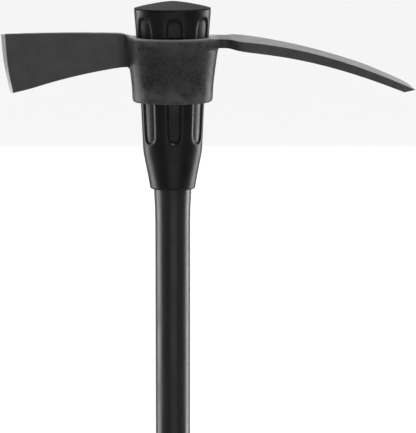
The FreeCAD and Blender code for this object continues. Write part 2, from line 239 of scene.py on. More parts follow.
# %% The collar and its eye
EYE_TOP = 879.0
COLLAR_SIDES = 32
RIM_HALF_X, RIM_HALF_Y = 46.9, 34.5
FOOT_HALF_X, FOOT_HALF_Y = 40.1, 30.6
collar_outside = [
    (FOOT_HALF_X, FOOT_HALF_Y, EYE_BOTTOM), (40.4, 30.9, 830), (42.1, 31.9, 843), (43.0, 32.4, 850),
    (44.4, 33.1, 860), (45.7, 33.8, 870), (RIM_HALF_X, RIM_HALF_Y, EYE_TOP)]
collar_inside = [(36.4, 25.9, EYE_TOP), (35.0, 25.0, 858), (33.4, 23.9, 836), (31.9, 22.9, EYE_BOTTOM)]
head = start_ring("forged_head", COLLAR_SIDES, collar_outside[0])
climb(collar_outside + collar_inside)
close_ring(EYE_BOTTOM, EYE_BOTTOM)
print("collar faces:", len(bmesh.from_edit_mesh(head.data).faces))

# %% [markdown]
# The collar's rim climbs a few millimetres at the cutter's end, where it runs up into the blade's back. The
# points of the outer rim that lie in that direction are picked by their angle and lifted.

# %% Raising the rim at the cutter's end
for degrees, rise in ((180.0, 3.0), (168.75, 3.0), (157.5, 1.2)):
    def on_rim(middle, vertex, degrees=degrees):
        outward = Vector((middle.x / RIM_HALF_X, middle.y / RIM_HALF_Y))
        on_spoke = abs(abs(around(outward)) - degrees) < 2
        return on_spoke and outward.length > 0.95 and abs(middle.z - EYE_TOP) < 0.5
    print("rim vertices raised:", pick(on_rim, "VERT"))
    move(z=rise)

# %% [markdown]
# ## The cutter blade
# The cutter is an upright axe blade: thick at the collar, thinner and deeper towards its arched edge.
# Six faces on the collar's end are extruded and fitted to one section after another. Its back is very
# slightly crowned and its underside hollow.

# %% Drawing out the cutter
CUTTER_ROOT, CUTTER_HEEL = -50.9, -166.3
CUTTER_BACK = 883.2                    # height of the blade's back at its two ends
EDGE_RAKE, EDGE_BULGE = 9.2, 2.0       # how far the lower corner falls short, and the arc's height
cutter_length = CUTTER_ROOT - CUTTER_REACH


def cutter_top(x):
    """The back is crowned by a millimetre in the middle."""
    return CUTTER_BACK + 1.0 * (1 - ((x - (CUTTER_ROOT + CUTTER_REACH) / 2) / (cutter_length / 2)) ** 2)


def cutter_bottom(x):
    """The underside falls 25 mm from the root to the lower corner, hollowed by 2.2 mm on the way."""
    share = (CUTTER_ROOT - x) / (cutter_length - EDGE_RAKE)
    return 849.7 - 25.0 * share + 2.2 * 4 * share * (1 - share)


def cutter_half(x):
    """Half the blade's thickness."""
    return 6.0 - 3.2 * (CUTTER_ROOT - x) / cutter_length


def on_cutter_root(middle, face):
    return middle.x < -40 and 850 < middle.z < 882 and abs(middle.y) < 6.8 and face.normal.x < -0.5


print("cutter root faces:", pick(on_cutter_root))
for x in (CUTTER_ROOT, -60, -80, -105, -130, -150, CUTTER_HEEL, CUTTER_REACH):
    bpy.ops.mesh.extrude_region_move()
    half = 0.0 if x == CUTTER_REACH else cutter_half(x)
    bottom = cutter_bottom(max(x, CUTTER_REACH + EDGE_RAKE))
    fit((x, -half, bottom), (x, half, cutter_top(x)))

# %% [markdown]
# The edge isn't upright: its lower corner falls short of the upper one, and the middle bulges into an
# arc. The last sections are pushed into that curve row by row, less and less away from the edge.

# %% Raking and arching the cutter's edge
def edge_shift(depth):
    """How far back a point of the edge lies, for its depth below the upper corner as a share."""
    return EDGE_RAKE * depth - EDGE_BULGE * 4 * depth * (1 - depth)


def rows_at(x, axis):
    """The places of the section's rows or columns along one axis, with near twins counted once."""
    form = bmesh.from_edit_mesh(bpy.context.edit_object.data)
    places = sorted(v.co[axis] / MM for v in form.verts if abs(v.co.x / MM - x) < 0.03)
    return [place for index, place in enumerate(places) if index == 0 or place - places[index - 1] > 0.6]


HEEL_AMOUNT = 0.82
blade_amounts = ((-150.0, 0.72), (-130.0, 0.42), (-105.0, 0.18))
for x, amount in ((CUTTER_REACH, 1.0), (CUTTER_HEEL, HEEL_AMOUNT), *blade_amounts):
    heights = rows_at(x, 2)
    top, bottom = heights[-1], heights[0]
    for height in heights:
        def in_row(middle, vertex, x=x, height=height):
            return abs(middle.x - x) < 0.05 and abs(middle.z - height) < 0.6
        pick(in_row, "VERT")
        move(x=edge_shift((top - height) / (top - bottom)) * amount)
print("edge rows:", [round(height, 1) for height in heights])

# %% [markdown]
# ## The adze blade
# The adze lies flat: a short neck out of the collar, square shoulders, a waist, and a wide edge ground
# from below. Eight faces of the collar's top row are extruded through sections whose widths follow
# that outline and whose height falls along a slow curve.

# %% The adze's outline
ADZE_DROP = 50.2
ADZE_HALF_WIDTH = 44.0                 # at the edge, before it is worn


def adze_top(x):
    """The top falls away slowly at first and then ever faster."""
    run = max(0.0, (x - RIM_HALF_X) / (ADZE_REACH - RIM_HALF_X))
    return EYE_TOP - ADZE_DROP * (0.203 * run + 0.839 * run ** 2 - 0.042 * run ** 3)


adze_sections = [  # distance along the blade, half width, thickness
    (53, 22.4, 9.0), (56, 25.6, 9.2), (59.5, 31.8, 9.5), (63, 37.4, 9.8), (68, 40.0, 10.0), (76, 39.9, 10.2),
    (90, 38.2, 10.3), (108, 36.0, 10.1), (128, 35.0, 9.8), (150, 35.5, 9.4), (172, 37.0, 9.0),
    (194, 39.6, 8.5), (212, 41.6, 8.0), (227, 43.2, 7.4), (ADZE_REACH, ADZE_HALF_WIDTH, 0.0)]


def on_adze_root(middle, face):
    return 870 < middle.z < 879 and abs(middle.y) < 24.6 and face.normal.x > 0.3 and middle.x > 34


def square_up_section(x):
    """Widens the section's lower row to match its upper one, then selects the section again."""
    def lower_row(middle, vertex):
        return abs(middle.x - x) < 0.01 and middle.z < adze_top(x) - 4
    pick(lower_row, "VERT")
    size(1, RIM_HALF_Y / collar_outside[-2][1], 1, about=(x, 0, 0))

    def section(middle, face):
        return all(abs(vertex.co.x / MM - x) < 0.01 for vertex in face.verts)
    pick(section)


print("adze sections:", len(adze_sections), "; root faces:", pick(on_adze_root))
for x, half, thickness in adze_sections:
    bpy.ops.mesh.extrude_region_move()
    fit((x, -half, adze_top(x) - thickness), (x, half, adze_top(x)))
    if x == adze_sections[0][0]:
        square_up_section(x)

# %% [markdown]
# The grinder has eaten the far corner of the edge into a long curve. Each column of the blade there is
# drawn back by a quarter circle's depth, most at the edge and fading out along the blade, and lifted
# as it goes so that it stays on the blade's curve.

# %% Wearing the far corner
WORN_RADIUS = 34
WORN_START = ADZE_HALF_WIDTH - WORN_RADIUS


def corner_depth(y):
    """How far the worn edge lies behind the straight one, at the distance y across the blade."""
    across = max(0.0, y - WORN_START) / WORN_RADIUS
    return WORN_RADIUS * (1 - math.sqrt(max(0.0, 1 - across ** 2)))


for x, amount in ((ADZE_REACH, 1.0), (227, 0.86), (212, 0.66), (194, 0.44), (172, 0.22), (150, 0.07)):
    across = [y for y in rows_at(x, 1) if y > WORN_START]
    half = across[-1]
    for y in across:
        def in_column(middle, vertex, x=x, y=y):
            return abs(middle.x - x) < 0.03 and abs(middle.y - y) < 0.6
        pick(in_column, "VERT")
        back = corner_depth(y * ADZE_HALF_WIDTH / half) * amount
        move(x=-back, z=adze_top(x - back) - adze_top(x))
print("worn corner columns:", [round(y, 1) for y in across])

# %% [markdown]
# ## Edges of the forging
# A forging has no knife-sharp corners except where it is ground. The hollows where the blades leave the
# collar come first. Under the adze's neck the hollow is wide, as a die leaves it, and beside the cutter it
# is tight enough to show as a dark line. A bevel on a hollow edge fills it with a round.

# %% Rounding the hollows at the blades' roots
bpy.ops.mesh.select_all(action="SELECT")
bpy.ops.mesh.remove_doubles(threshold=0.00001)
bpy.ops.mesh.normals_make_consistent(inside=False)


def ends_of(edge):
    """The corner points of an edge or a face, in millimetres."""
    return [vertex.co / MM for vertex in edge.verts]


def under_neck(middle, edge):
    return all(abs(end.z - 870) < 0.1 and 32 < end.x < 47 and abs(end.y) < 25 for end in ends_of(edge))


print("edges under the neck:", pick(under_neck, "EDGE"))
bpy.ops.mesh.bevel(offset=4.5 * MM, segments=3, affect="EDGES")


def beside_cutter(middle, edge):
    low, high = sorted(ends_of(edge), key=lambda end: end.z)
    in_hollow = all(-47 < end.x < -41 and 5.8 < abs(end.y) < 7 and end.z > 849 for end in (low, high))
    return in_hollow and high.z - low.z > 5


print("edges beside the cutter:", pick(beside_cutter, "EDGE"))
bpy.ops.mesh.bevel(offset=2.2 * MM, segments=2, affect="EDGES")

# %% [markdown]
# The collar's foot is well rounded and its upper rim less so. Both are picked by how far out they lie, as a
# share of the oval, because the hole's own rims lie at the same heights.

# %% Rounding the collar's foot and rim
def is_lower_rim(middle, edge):
    outward = [math.hypot(end.x / FOOT_HALF_X, end.y / FOOT_HALF_Y) for end in ends_of(edge)]
    return min(outward) > 0.97 and all(abs(end.z - EYE_BOTTOM) < 0.1 for end in ends_of(edge))


def is_upper_rim(middle, edge):
    """The collar's outer top corner between the two blades."""
    outward = [math.hypot(end.x / RIM_HALF_X, end.y / RIM_HALF_Y) for end in ends_of(edge)]
    level = all(end.z > EYE_TOP - 1 for end in ends_of(edge)) and abs(middle.x) < 37
    return level and min(outward) > 0.99 and edge.calc_face_angle(0.0) > math.radians(38)


print("lower rim edges:", pick(is_lower_rim, "EDGE"))
bpy.ops.mesh.bevel(offset=3.6 * MM, segments=3, affect="EDGES")
print("upper rim edges:", pick(is_upper_rim, "EDGE"))
bpy.ops.mesh.bevel(offset=1.3 * MM, segments=2, affect="EDGES")

# %% [markdown]
# The other outer corners get a small bevel that the smoothing keeps tight. It has to stop short of the two
# ground bevels, whose corners are crisp, so these have to be told apart: a ground line is very sharp or
# lies on the cutter's tip, and a ground side joins the heel of a bevel to its edge.

# %% Telling the ground bevels from the rest
def on_tip(place):
    return abs(place.y) < 0.01 and place.x < -158


def beyond_cutter_heel(place):
    """Between the heel of the cutter's ground bevel and its edge, with a little to spare."""
    depth = min(1.0, max(0.0, (CUTTER_BACK - place.z) / 58.5))
    return place.x < CUTTER_HEEL + HEEL_AMOUNT * edge_shift(depth) + 0.35


def on_adze_edge(place):
    """On the adze's cutting edge, which follows the worn corner."""
    return place.x > 190 and abs(place.x - (ADZE_REACH - corner_depth(place.y))) < 1.0


def is_ground_line(edge):
    """The thin line of either ground edge: both its faces slope to the same point."""
    return edge.calc_face_angle() > math.radians(100) or all(on_tip(end) for end in ends_of(edge))


def is_ground_side(edge):
    """A side of either ground bevel, where it runs out to the cutting edge."""
    return all(map(beyond_cutter_heel, ends_of(edge))) or any(map(on_adze_edge, ends_of(edge)))


print("the heel at mid-depth lies at", round(CUTTER_HEEL + HEEL_AMOUNT * edge_shift(0.5), 1))

# %% [markdown]
# Now the small bevel. Slivers of three corners are left alone, because a bevel can fold over on them.

# %% Bevelling the outer corners
def is_outer_corner(middle, edge):
    at_foot = middle.z < 818 and abs(middle.x) < 60
    if len(edge.link_faces) != 2 or at_foot or is_ground_side(edge) or is_ground_line(edge):
        return False
    slivers = [face for face in edge.link_faces if len(face.verts) == 3]
    return edge.calc_face_angle_signed() > math.radians(38) and not slivers


print("outer corner edges:", pick(is_outer_corner, "EDGE"))
bpy.ops.mesh.bevel(offset=0.7 * MM, segments=2, affect="EDGES", clamp_overlap=True)

# %% [markdown]
# The smoothing would round the ground bevels away. A crease tells it to keep an edge or a point where it
# is: fully on the edge lines, their sides and their corners, and a little less on the heel, which a
# grinder leaves slightly soft.

# %% Creasing the ground bevels
def is_edge_line(middle, edge):
    return len(edge.link_faces) == 2 and is_ground_line(edge) and abs(middle.x) > 150


def is_side_corner(middle, edge):
    turned = len(edge.link_faces) == 2 and edge.calc_face_angle_signed() > math.radians(30)
    return turned and is_ground_side(edge) and not is_edge_line(middle, edge) and middle.y < 20


def on_heel(place):
    return beyond_cutter_heel(place) and not beyond_cutter_heel(place + Vector((1.2, 0, 0)))


def is_heel_line(middle, edge):
    return all(map(on_heel, ends_of(edge))) and abs(middle.y) > 1


def is_edge_corner(middle, vertex):
    """The ends of the cutter's edge and of its heel lines, and the adze's unworn corner."""
    at_cutter = middle.x < -155 and not 828 < middle.z < 882
    on_cutter = at_cutter and (abs(middle.y) < 0.01 or on_heel(middle))
    return on_cutter or (middle.x > 226 and middle.y < -42.5)


for test, amount in ((is_edge_line, 1.0), (is_side_corner, 1.0), (is_heel_line, 0.9)):
    print(test.__name__, pick(test, "EDGE"))
    bpy.ops.transform.edge_crease(value=amount)
print("edge corners:", pick(is_edge_corner, "VERT"))
bpy.ops.transform.vert_crease(value=1.0)

# %% [markdown]
# The two cutting edges are ground to bare steel. Their faces are marked now, on the coarse mesh, with
# the second of two material slots, so the line between paint and steel stays clean once smoothed.

# %% Marking the ground faces
forge_paint = bpy.data.materials.new("painted forging")
ground_steel = bpy.data.materials.new("ground steel")
head.data.materials.append(forge_paint)
head.data.materials.append(ground_steel)


def is_ground(middle, face):
    on_cutter = middle.x < -155 and all(map(beyond_cutter_heel, ends_of(face)))
    on_adze = face.normal.z < -0.3 and any(map(on_adze_edge, ends_of(face)))
    return on_cutter or on_adze


print("ground faces:", pick(is_ground))
head.active_material_index = 1
bpy.ops.object.material_slot_assign()
finish(head)

# %% [markdown]
# ## The fluted sleeve
# The sleeve is moulded nylon: a short skirt round the shaft, a neck that widens upward, and six shallow
# flutes with round ends that keep its walls even while it cools. It repeats in four quarters, so one
# quarter is built from a climbing oval and mirrored twice, seams merged.

# %% The sleeve's ovals
def sleeve_oval(z):
    """The sleeve's half length and half depth at a height between its skirt and its rim."""
    if z < EYE_BOTTOM:
        return 29.3 + (z - SKIRT_BREAK) * 0.0465, 21.9 + (z - SKIRT_BREAK) * 0.0141, z
    if z < EYE_TOP:
        return 31.6 + (z - EYE_BOTTOM) * 0.0692, 22.6 + (z - EYE_BOTTOM) * 0.0462, z
    return 36.1 + (z - EYE_TOP) * 0.0816, 25.6 + (z - EYE_TOP) * 0.0638, z


SLEEVE_SIDES = 56
SKIRT_BREAK = 764.5                    # where the skirt stops spreading and the neck begins
ROD_BORE, JACKET_BORE = 13.35, 18.85
skirt = [
    (20.5, 19.1, SLEEVE_FOOT), (21.9, 20.6, 727.5), (22.6, 21.3, 729), (22.9, 21.4, 731), (24.6, 21.6, 741),
    (27.1, 21.8, 753), (28.9, 21.87, 762.5)]
neck_heights = (766.5, 770, 773, 780, 791, 802, 812, 830, 846, 862, 879, 890.5, 899.3, 903, 906)
neck = [sleeve_oval(z) for z in neck_heights]
top_face = [(38.1, 27.1, SLEEVE_RIM), (37.2, 26.3, SLEEVE_RIM)]
bore = round_rings([
    (14.0, SLEEVE_RIM), (ROD_BORE, 906.5), (ROD_BORE, 830), (ROD_BORE, 757.5), (13.9, JACKET_TOP),
    (18.3, JACKET_TOP), (JACKET_BORE, 756.4), (JACKET_BORE, SLEEVE_FOOT + 1)])
sleeve = start_ring("moulded_sleeve", SLEEVE_SIDES, skirt[0])
climb(skirt + neck + top_face + bore)
close_ring(SLEEVE_FOOT, SLEEVE_FOOT + 1)
print("sleeve rows:", len(skirt + neck + top_face + bore))

# %% [markdown]
# The sleeve is the same on all four sides of its two middle planes. Only the quarter between the adze and
# the back is kept, so that each flute is shaped once and its copies match exactly.

# %% Keeping one quarter
def outside_quarter(middle, face):
    return not (middle.x > 0 and middle.y > 0)


pick(outside_quarter)
bpy.ops.mesh.delete(type="FACE")
print("faces left in the quarter:", len(bmesh.from_edit_mesh(sleeve.data).faces))

# %% [markdown]
# The ends of each flute are half circles. The corner points of its end row are moved onto that half
# circle, staying on the sleeve's surface; every flute gets the same curve from one formula.

# %% Rounding the flutes' ends
STEP = 360 / SLEEVE_SIDES
FLUTE_FOOT, FLUTE_TOP = 773, 899.3
flutes = [(5.5 * STEP, 2.5 * STEP, 5), (14 * STEP, 2 * STEP, 4)]    # middle, half width, faces across
flute_ends = [(FLUTE_FOOT, 780, -7.0), (FLUTE_TOP, 890.5, 8.8)]     # end row, start of its curve, rise


def on_sleeve(degrees, z):
    """The corner point of the sleeve's mesh at an angle round the oval and a height."""
    half_x, half_y, _ = sleeve_oval(z)
    spread = smoothing_loss(SLEEVE_SIDES)
    turn = math.radians(degrees)
    return Vector((half_x * spread * math.cos(turn), half_y * spread * math.sin(turn), z))


moved = 0
for middle_angle, half_angle, across in flutes:
    for end_z, curve_z, rise in flute_ends:
        for column in range(across + 1):
            share = column / across * 2 - 1
            here = on_sleeve(middle_angle + share * half_angle, end_z)
            if here.x < -0.01:
                continue
            turn = math.radians(share * 50)
            there = on_sleeve(middle_angle + half_angle * math.sin(turn), curve_z + rise * math.cos(turn))

            def same_point(middle, vertex, here=here):
                return (middle - here).length < 0.2
            moved += pick(same_point, "VERT")
            move(*(there - here))
print("flute end points moved:", moved)

# %% [markdown]
# Each flute is sunk with one inset: its faces shrink by a narrow margin and go in by the flute's depth, so
# the margin becomes its wall. The points that should lie on the two middle planes are pressed onto them
# afterwards, so that the quarters close when they are mirrored.

# %% Sinking the flutes
def in_flute(middle, face):
    inside_bore = math.hypot(middle.x, middle.y) < 18
    if inside_bore or not FLUTE_FOOT < middle.z < FLUTE_TOP:
        return False
    half_x, half_y, _ = sleeve_oval(middle.z)
    angle = math.degrees(math.atan2(middle.y / half_y, middle.x / half_x))
    return any(abs(angle - middle_angle) < half_angle for middle_angle, half_angle, _ in flutes)


print("flute faces:", pick(in_flute))
bpy.ops.mesh.inset(thickness=0.8 * MM, depth=-2.2 * MM, use_boundary=False, use_even_offset=True)
for axis, flatten in ((0, (0, 1, 1)), (1, (1, 0, 1))):
    def beside_plane(middle, vertex, axis=axis):
        return abs(middle[axis]) < 0.8
    print("seam points:", pick(beside_plane, "VERT"))
    size(*flatten, about=(0, 0, 0))

# %% [markdown]
# The Mirror modifier copies the quarter across both planes and merges the seams. It is applied before the
# smoothing, so that the surface runs over the seams without a line.

# %% Mirroring the quarter
bpy.ops.object.mode_set(mode="OBJECT")
choose(sleeve)
quarters = sleeve.modifiers.new("quarters", "MIRROR")
quarters.use_axis = (True, True, False)
quarters.use_mirror_merge = True
quarters.merge_threshold = 0.00005
bpy.ops.object.modifier_apply(modifier=quarters.name)
bpy.ops.object.mode_set(mode="EDIT")
finish(sleeve)

# %% [markdown]
# ## The domed cap
# A plug with a low, slightly pointed dome closes the sleeve. Turning a profile would make it round, but
# the rim it sits on is oval, so it climbs through ovals too, and its last rim is drawn to a pole.

# %% Building the cap
DOME_FLATNESS = 27.4 / 38.4            # half depth of the dome's ovals as a share of their half length
dome_rings = [
    (36.8, SLEEVE_RIM), (38.1, 907.3), (38.4, 907.9), (37.6, 908.3), (33, 909.6), (27, 911.0), (16, 913.2),
    (9, 914.2), (5, 914.7), (2, 914.95)]
dome = [(x, x * DOME_FLATNESS, z) for x, z in dome_rings]
plug = round_rings([(11.8, PLUG_FOOT), (12.9, 894.6), (13.1, 896), (13.1, 906), (14.5, SLEEVE_RIM)])
cap = start_ring("domed_cap", SLEEVE_SIDES, plug[0])
climb(plug + dome)
shrink_to_pole()


def plug_foot(middle, edge):
    return edge.is_boundary and middle.z < 895


pick(plug_foot, "EDGE")
climb([plug[0], (5, 5, PLUG_FOOT)])
shrink_to_pole()
finish(cap)

# %% [markdown]
# ## The shaft
# A solid fibreglass rod runs the whole handle, and a plastic jacket is drawn over it. The jacket swells
# just under the sleeve, as a lathe-turned handle would. It is a ring profile climbed once round.

# %% Building the shaft
ROUND_SIDES = 48
CORE_RADIUS = 12.75
lower_jacket = [
    (CORE_RADIUS, JACKET_FOOT), (16.2, JACKET_FOOT), (16.8, 6.6), (16.8, 60), (16.8, 200), (16.85, 289),
    (17.0, 400), (17.15, 500), (17.3, 600), (17.4, 680)]
jacket_swell = [(17.4, 691), (17.55, 702), (17.9, 712), (18.35, 720), (18.8, SLEEVE_FOOT), (18.8, 740)]
jacket_end = [(18.8, 756.5), (18.3, JACKET_TOP)]
jacket_bore = [(CORE_RADIUS, JACKET_TOP), (CORE_RADIUS, 500), (CORE_RADIUS, 250)]
shaft_rings = round_rings(lower_jacket + jacket_swell + jacket_end + jacket_bore)
shaft = start_ring("shaft_tube", ROUND_SIDES, shaft_rings[0])
climb(shaft_rings)
close_ring(JACKET_FOOT, 250)
finish(shaft)

# %% [markdown]
# ## The grip
# Soft rubber is moulded over the lower shaft, with a ring groove every eleven millimetres and a raised
# bead at the top. One groove is modelled and an Array modifier repeats it, and the plain ends are then
# joined on and merged.

# %% One groove, repeated
GROOVE_PITCH, GROOVES = 11.0, 20
FIRST_GROOVE = 46
groove_profile = [
    (20.0, 0), (20.0, 0.5), (19.9, 0.85), (19.3, 1.15), (19.2, 1.5), (19.2, 2.5), (19.3, 2.85), (19.9, 3.15),
    (20.0, 3.5), (20.0, GROOVE_PITCH)]
groove = round_rings([(radius, FIRST_GROOVE + rise) for radius, rise in groove_profile])
grip = start_ring("rubber_grip", ROUND_SIDES, groove[0])
climb(groove)
bpy.ops.object.mode_set(mode="OBJECT")
choose(grip)
rows = grip.modifiers.new("rows", "ARRAY")
rows.count = GROOVES
rows.use_relative_offset = False
rows.use_constant_offset = True
rows.constant_offset_displace = (0, 0, GROOVE_PITCH * MM)
rows.use_merge_vertices = True
rows.merge_threshold = 0.00005
bpy.ops.object.modifier_apply(modifier=rows.name)
print("grip faces with", GROOVES, "grooves:", len(grip.data.polygons))

# %% [markdown]
# The rest of the grip is one more climb: up over the bead, down through the bore and out to the first
# groove. Both ends of it meet the grooved part, and joining and merging make one closed piece.

# %% The grip's plain ends
last_groove_end = FIRST_GROOVE + GROOVES * GROOVE_PITCH
bead = [(20.0, last_groove_end), (20.0, 281), (20.05, 281.8), (20.7, 282.4), (21.0, 283.3), (21.0, 287.7),
        (20.7, 288.6), (20.0, GRIP_TOP)]
grip_bore = [(17.2, GRIP_TOP), (16.85, 288.6), (16.85, 150), (16.85, 27.4), (17.2, GRIP_FOOT)]
grip_foot = [(19.6, GRIP_FOOT), (20.0, 27.4), (20.0, 36), (20.0, FIRST_GROOVE)]
end_rings = round_rings(bead + grip_bore + grip_foot)
ends = start_ring("grip_ends", ROUND_SIDES, end_rings[0])
climb(end_rings)
bpy.ops.object.mode_set(mode="OBJECT")
choose(grip)
ends.select_set(True)
bpy.ops.object.join()
bpy.ops.object.mode_set(mode="EDIT")
finish(grip, levels=1)

# %% [markdown]
# ## The butt plug
# The lower end is closed by a moulded cup with a rounded rim, which the mattock stands on. Its outside
# climbs, its inside comes back down, and both floors are drawn to a pole.

# %% Building the butt plug
cup_outside = [
    (17.5, 0.0), (19.2, 0.15), (20.5, 0.9), (21.0, 2.6), (21.0, 14), (21.0, 26.3), (20.6, GRIP_FOOT)]
cup_inside = [
    (17.2, GRIP_FOOT), (16.85, 26.5), (16.85, 15), (16.85, 6.4), (16.3, JACKET_FOOT), (6, JACKET_FOOT)]
cup_rings = round_rings(cup_outside + cup_inside)
butt = start_ring("butt_plug", ROUND_SIDES, cup_rings[0])
climb(cup_rings)
shrink_to_pole()


def butt_foot(middle, edge):
    return edge.is_boundary and middle.z < 0.1


pick(butt_foot, "EDGE")
climb([cup_rings[0], (6, 6, 0.0)])
shrink_to_pole()
finish(butt)

# %% [markdown]
# ## Finishes
# Each finish is a set of nodes that read the object's own coordinates, so that the pattern stays on
# the piece from every side. Three small node groups are shared: a cloudy mottle, drawn streaks, and
# the broken wear of an outer edge. A short helper adds a node and wires it in one call.

# %% A helper for adding and wiring nodes
def place(tree, kind, wires=None, **settings):
    """Adds a node, applies its settings, and connects or sets its inputs."""
    node = tree.nodes.new(kind)
    for setting, value in settings.items():
        setattr(node, setting, value)
    for socket, value in (wires or {}).items():
        if isinstance(value, bpy.types.NodeSocket):
            tree.links.new(value, node.inputs[socket])
        else:
            node.inputs[socket].default_value = value
    return node


def new_group(name, inputs, outputs):
    """Starts a shader node group with named sockets and returns it with its input and output nodes."""
    group = bpy.data.node_groups.new(name, "ShaderNodeTree")
    for label, kind, value in inputs:
        socket = group.interface.new_socket(name=label, in_out="INPUT", socket_type=kind)
        if value is not None:
            socket.default_value = value
    for label in outputs:
        group.interface.new_socket(name=label, in_out="OUTPUT", socket_type="NodeSocketFloat")
    return group, group.nodes.new("NodeGroupInput"), group.nodes.new("NodeGroupOutput")


def use_group(tree, group, wires):
    return place(tree, "ShaderNodeGroup", wires, node_tree=group)


# %% [markdown]
# Most patterns need the same three steps, so these get a name each: a cloudy noise, a mask that rises from
# nothing to full between two values, and the product of two masks, which is full only where both are.

# %% Noise and masks
def noise(tree, here, scale, detail, roughness, distortion=0.0):
    """Cloudy noise from 0 to 1, read at the given place."""
    wires = {"Vector": here, "Scale": scale, "Detail": detail}
    wires.update(Roughness=roughness, Distortion=distortion)
    return place(tree, "ShaderNodeTexNoise", wires).outputs["Fac"]


def mask(tree, value, start, end):
    """Rises from 0 where the value is at start to 1 where it is at end."""
    wires = {"Value": value, "From Min": start, "From Max": end}
    return place(tree, "ShaderNodeMapRange", wires).outputs["Result"]


def product(tree, first, second):
    return place(tree, "ShaderNodeMath", {0: first, 1: second}, operation="MULTIPLY").outputs[0]


def from_axis(tree, here):
    """The distance from the handle's middle line, which the height doesn't change."""
    level = place(tree, "ShaderNodeVectorMath", {0: here, 1: (1, 1, 0)}, operation="MULTIPLY")
    distance = place(tree, "ShaderNodeVectorMath", {0: level.outputs["Vector"]}, operation="LENGTH")
    return distance.outputs["Value"]


print("helpers: noise, mask, product, from_axis")

# %% [markdown]
# Paint and plastic are never quite even. The mottle gives two sizes of noise: a soft cloud, as paint lies
# over a hammered forging, and a speckle nine times finer for the grain.

# %% Cloudy mottle
mottle, mottle_in, mottle_out = new_group(
    "cloudy mottle",
    [("Place", "NodeSocketVector", None), ("Scale", "NodeSocketFloat", 60.0)],
    ["Cloud", "Speckle"])
here, scale = mottle_in.outputs["Place"], mottle_in.outputs["Scale"]
cloud = noise(mottle, here, scale, 3.5, 0.52, 0.1)
speckle = noise(mottle, here, product(mottle, scale, 9.0), 3.0, 0.7)
mottle.links.new(mask(mottle, cloud, 0.32, 0.68), mottle_out.inputs["Cloud"])
mottle.links.new(speckle, mottle_out.inputs["Speckle"])
print("group:", mottle.name)

# %% [markdown]
# Grinding, drawing and moulding all leave fine lines. Noise whose coordinates are multiplied by a large
# number in one direction changes fast that way and hardly at all in the other, which makes such lines.

# %% Drawn streaks
streaks, streaks_in, streaks_out = new_group(
    "drawn streaks",
    [("Place", "NodeSocketVector", None), ("Stretch", "NodeSocketVector", (1, 1, 1))],
    ["Streak"])
here, stretch = streaks_in.outputs["Place"], streaks_in.outputs["Stretch"]
pulled = place(streaks, "ShaderNodeVectorMath", {0: here, 1: stretch}, operation="MULTIPLY").outputs["Vector"]
lines = mask(streaks, noise(streaks, pulled, 1.0, 5.0, 0.65), 0.3, 0.7)
streaks.links.new(lines, streaks_out.inputs["Streak"])
print("group:", streaks.name)

# %% [markdown]
# Paint and plastic rub off at outer corners first, but not all along them. The sharpness that is stored on
# each point of the mesh is broken up by noise, so that the wear comes and goes.

# %% Broken edge wear
wear, wear_in, wear_out = new_group(
    "broken edge wear",
    [("Place", "NodeSocketVector", None),
     ("Sharpness", "NodeSocketFloat", 0.0),
     ("Amount", "NodeSocketFloat", 0.5)],
    ["Worn"])
patchy = mask(wear, noise(wear, wear_in.outputs["Place"], 260.0, 6.0, 0.7), 0.35, 0.65)
rubbed = product(wear, patchy, wear_in.outputs["Sharpness"])
amount = wear_in.outputs["Amount"]
scaled = place(wear, "ShaderNodeMath", {0: rubbed, 1: amount}, operation="MULTIPLY", use_clamp=True)
wear.links.new(scaled.outputs[0], wear_out.inputs["Worn"])
print("group:", wear.name)

# %% [markdown]
# Wear needs to know where the outer corners are. The angle between neighbouring faces tells: each
# vertex gets a sharpness from its outward-folding edges, stored as an attribute the shader can read.

# %% Measuring how sharp each corner is
def store_sharpness(piece, full_angle):
    """Stores 0 to 1 on each vertex: how far its edges fold outward, compared with full_angle degrees."""
    form = bmesh.new()
    form.from_mesh(piece.data)
    folds = []
    for vertex in form.verts:
        angles = [edge.calc_face_angle_signed(0.0) for edge in vertex.link_edges]
        folds.append(min(1.0, max(0.0, max(angles)) / math.radians(full_angle)))
    form.free()
    attribute = piece.data.attributes.new("sharpness", "FLOAT", "POINT")
    attribute.data.foreach_set("value", folds)
    worn_count = sum(1 for fold in folds if fold > 0.5)
    print(f"{piece.name}: {worn_count} worn corners of {len(folds)}")


store_sharpness(head, 22)
store_sharpness(sleeve, 30)

# %% [markdown]
# Every finish starts and ends alike. It starts as a Principled shader whose constant values are set on its
# own sockets, and it ends with a colour, a roughness and the bumps wired in. Greys are given as one number.

# %% Starting a finish
def new_finish(name, metallic=0.0, roughness=0.5, specular=0.5):
    """The material of that name, its node tree, its Principled shader and the object's coordinates."""
    finish_made = bpy.data.materials.get(name) or bpy.data.materials.new(name)
    finish_made.use_nodes = True
    tree = finish_made.node_tree
    shader = tree.nodes["Principled BSDF"]
    shader.inputs["Metallic"].default_value = metallic
    shader.inputs["Roughness"].default_value = roughness
    shader.inputs["Specular IOR Level"].default_value = specular
    here = tree.nodes.new("ShaderNodeTexCoord").outputs["Object"]
    return finish_made, tree, shader, here


def tone(colour):
    """A colour as red, green and blue, from one number for a grey or from all three."""
    return (colour,) * 3 if isinstance(colour, float) else colour


def two_tone(tree, share, dark, light):
    """A colour between two tones, by a share from 0 to 1."""
    ramp = place(tree, "ShaderNodeValToRGB", {"Fac": share})
    ramp.color_ramp.elements[0].color = (*tone(dark), 1)
    ramp.color_ramp.elements[1].color = (*tone(light), 1)
    return ramp.outputs["Color"]


